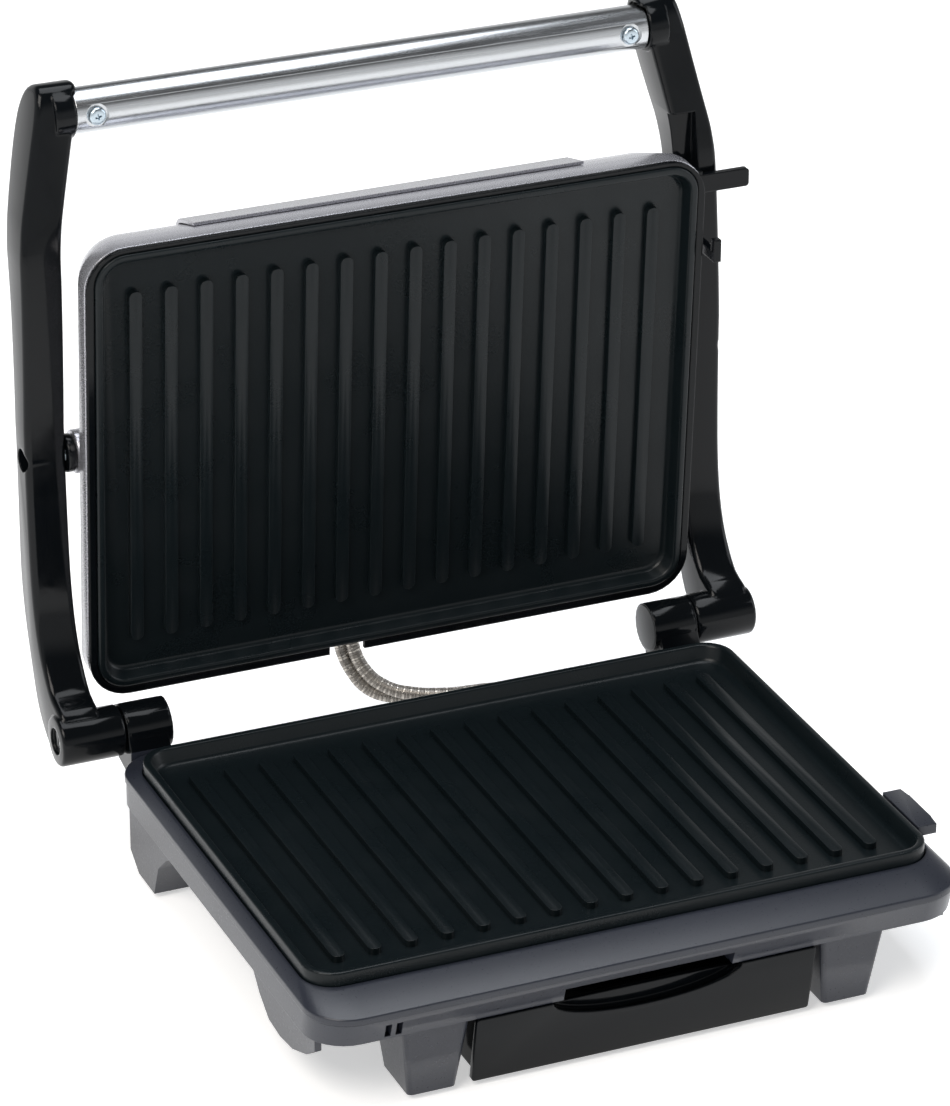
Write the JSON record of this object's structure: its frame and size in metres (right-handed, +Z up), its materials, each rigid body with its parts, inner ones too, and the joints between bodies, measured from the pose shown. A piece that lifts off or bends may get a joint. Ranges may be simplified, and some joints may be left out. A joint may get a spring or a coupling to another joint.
{
  "type": "panini press",
  "caption": "Contact grill with a ribbed lower plate, a ribbed lid plate floating between two swinging arms, a tube handle, a side latch and a drip tray.",
  "frame": {"origin": "middle of the footprint, on the worktop", "axes": "+Z up, -Y to the front where the drip tray slides out, +X to the right side with the latch"},
  "size_m": [0.298, 0.285, 0.294],
  "materials": {
    "slate_plastic": "satin moulded, dark slate grey",
    "black_plastic": "glossy black",
    "cast_coating": "cast, with a near-black non-stick coating, satin",
    "stainless": "satin stainless",
    "foil_sheet": "bright rolled sheet",
    "silver_shell": "silver, satin",
    "silver_panel": "darker silver, satin",
    "zinc": "bright zinc plate",
    "heater": "dull, heat-stained",
    "ceramic": "matt, off-white",
    "rubber": "matt",
    "red_lens": "clear red",
    "green_lens": "clear green"
  },
  "bodies": {
    "base": {"base_housing": "slate_plastic", "base_frame": "slate_plastic", "lower_plate": "cast_coating", "lower_element": "heater", "lower_reflector": "stainless", "lower_thermostat": "ceramic", "lower_plate_screw_1": "zinc", "lower_plate_screw_2": "zinc", "lower_plate_screw_3": "zinc", "lower_plate_screw_4": "zinc", "terminal_block": "ceramic", "cord_inlet": "rubber", "hinge_pin_left": "stainless", "hinge_pin_right": "stainless", "foot_pad_1": "rubber", "foot_pad_2": "rubber", "foot_pad_3": "rubber", "foot_pad_4": "rubber", "conduit_front": "stainless", "conduit_rear": "stainless", "conduit_clamp": "ceramic"},
    "tray": {"drip_tray": "black_plastic"},
    "arms": {"arm_left": "black_plastic", "arm_right": "black_plastic", "handle_tube": "stainless", "handle_screw_left": "zinc", "handle_screw_right": "zinc"},
    "latch": {"latch": "black_plastic"},
    "lid": {"upper_plate": "cast_coating", "upper_element": "heater", "upper_reflector": "foil_sheet", "upper_fuse": "ceramic", "upper_plate_screw_1": "zinc", "upper_plate_screw_2": "zinc", "upper_plate_screw_3": "zinc", "upper_plate_screw_4": "zinc", "lid_frame": "black_plastic", "lid_cover": "silver_shell", "lid_panel": "silver_panel", "sleeve_clip": "ceramic", "lamp_power": "red_lens", "lamp_ready": "green_lens", "pivot_bush_left": "black_plastic", "pivot_bush_right": "black_plastic", "pivot_screw_left": "zinc", "pivot_screw_right": "zinc"}
  },
  "joints": [
    {"name": "arm_hinge", "type": "hinge", "parent": "base", "child": "arms", "pos_m": [0, 0.08295, 0.0483], "axis": [1, 0, 0], "range_deg": [0, 92.85], "deforming": ["conduit_front", "conduit_rear"]},
    {"name": "lid_tilt", "type": "hinge", "parent": "arms", "child": "lid", "pos_m": [0, 0.11445, 0.1519], "axis": [1, 0, 0], "range_deg": [-6.4, 0]},
    {"name": "tray_slide", "type": "slide", "parent": "base", "child": "tray", "axis": [0, -1, 0], "range_m": [0, 0.115]},
    {"name": "latch_slide", "type": "slide", "parent": "arms", "child": "latch", "axis": [0, 0, 1], "range_m": [0, 0.0095]}
  ],
  "couplings": [
    {"joint": "lid_tilt", "follows": "arm_hinge", "ratio": -0.06785}
  ]
}
